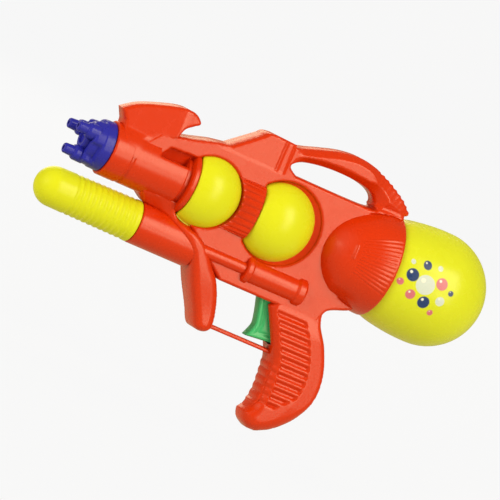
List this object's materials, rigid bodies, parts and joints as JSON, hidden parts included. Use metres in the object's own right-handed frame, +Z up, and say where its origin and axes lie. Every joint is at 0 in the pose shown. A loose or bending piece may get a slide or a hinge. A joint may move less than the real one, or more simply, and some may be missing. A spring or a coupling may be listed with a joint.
{
  "type": "water squirter",
  "caption": "Pump-action toy water squirter: moulded shells with side domes, a screw-off rear tank, a sliding pump handle, a sprung trigger and a turning nozzle with spouts.",
  "frame": {"origin": "centre of the bounding box in X and Y, on the flat butt of the grip at Z = 0", "axes": "+X from the muzzle to the tank along the barrel, +Y to the right shell, +Z up"},
  "size_m": [0.338, 0.0812, 0.2033],
  "materials": {
    "shell_red": "glossy moulded red plastic",
    "tank_yellow": "glossy moulded yellow plastic",
    "nozzle_blue": "glossy moulded blue plastic",
    "trigger_green": "satin moulded green plastic",
    "inner_white": "plain moulded white plastic",
    "hose_clear": "soft clear plastic tube",
    "seal_rubber": "black rubber",
    "steel": "plated steel"
  },
  "bodies": {
    "body": {"left_shell": "shell_red", "right_shell": "shell_red", "left_front_dome": "tank_yellow", "right_front_dome": "tank_yellow", "left_rear_dome": "tank_yellow", "right_rear_dome": "tank_yellow", "shell_screw_1": "steel", "shell_screw_2": "steel", "shell_screw_3": "steel", "shell_screw_4": "steel", "shell_screw_5": "steel", "shell_screw_6": "steel", "shell_screw_7": "steel", "shell_screw_8": "steel", "nozzle_stub": "inner_white", "nozzle_o_ring": "seal_rubber", "tank_collar": "inner_white", "dip_tube": "hose_clear", "pump_cylinder": "inner_white", "pump_gland": "inner_white", "pump_head": "inner_white", "valve_body": "inner_white", "valve_spring": "steel", "trigger_pin": "steel", "trigger_spring": "steel", "barrel_hose": "hose_clear", "water_hose": "hose_clear", "air_hose": "hose_clear"},
    "pump": {"pump_handle": "tank_yellow", "pump_rod": "inner_white", "pump_piston": "inner_white", "piston_seal": "seal_rubber", "rod_pin": "steel"},
    "trigger": {"trigger": "trigger_green"},
    "valve_stem": {"valve_stem": "inner_white", "valve_washer": "seal_rubber"},
    "nozzle": {"nozzle_head": "nozzle_blue"},
    "tank_carrier": {"tank_gasket": "seal_rubber"},
    "tank": {"tank": "tank_yellow"},
    "check_ball": {"check_ball": "seal_rubber"}
  },
  "joints": [
    {"name": "pump_slide", "type": "slide", "parent": "body", "child": "pump", "axis": [-1, 0, 0], "range_m": [0, 0.05]},
    {"name": "trigger_pull", "type": "hinge", "parent": "body", "child": "trigger", "pos_m": [0.024, 0, 0.096], "axis": [0, -1, 0], "range_deg": [0, 12], "stiffness_Nm_per_rad": 0.4, "springref_deg": -17.19, "deforming": ["trigger_spring"]},
    {"name": "valve_push", "type": "slide", "parent": "body", "child": "valve_stem", "axis": [-1, 0, 0], "range_m": [0, 0.00485], "deforming": ["valve_spring"]},
    {"name": "nozzle_turn", "type": "hinge", "parent": "body", "child": "nozzle", "pos_m": [-0.14, 0, 0.1395], "axis": [1, 0, 0], "continuous": true},
    {"name": "tank_back_off", "type": "slide", "parent": "body", "child": "tank_carrier", "axis": [1, 0, 0], "range_m": [0, 0.0121]},
    {"name": "tank_turn", "type": "hinge", "parent": "tank_carrier", "child": "tank", "pos_m": [0.09, 0, 0.1395], "axis": [1, 0, 0], "range_deg": [0, 1080]},
    {"name": "ball_lift", "type": "slide", "parent": "body", "child": "check_ball", "axis": [1, 0, 0], "range_m": [0, 0.0015]}
  ],
  "couplings": [
    {"joint": "valve_push", "follows": "trigger_pull", "m_per_rad": 0.023},
    {"joint": "tank_back_off", "follows": "tank_turn", "m_per_rad": 0.00063662}
  ]
}
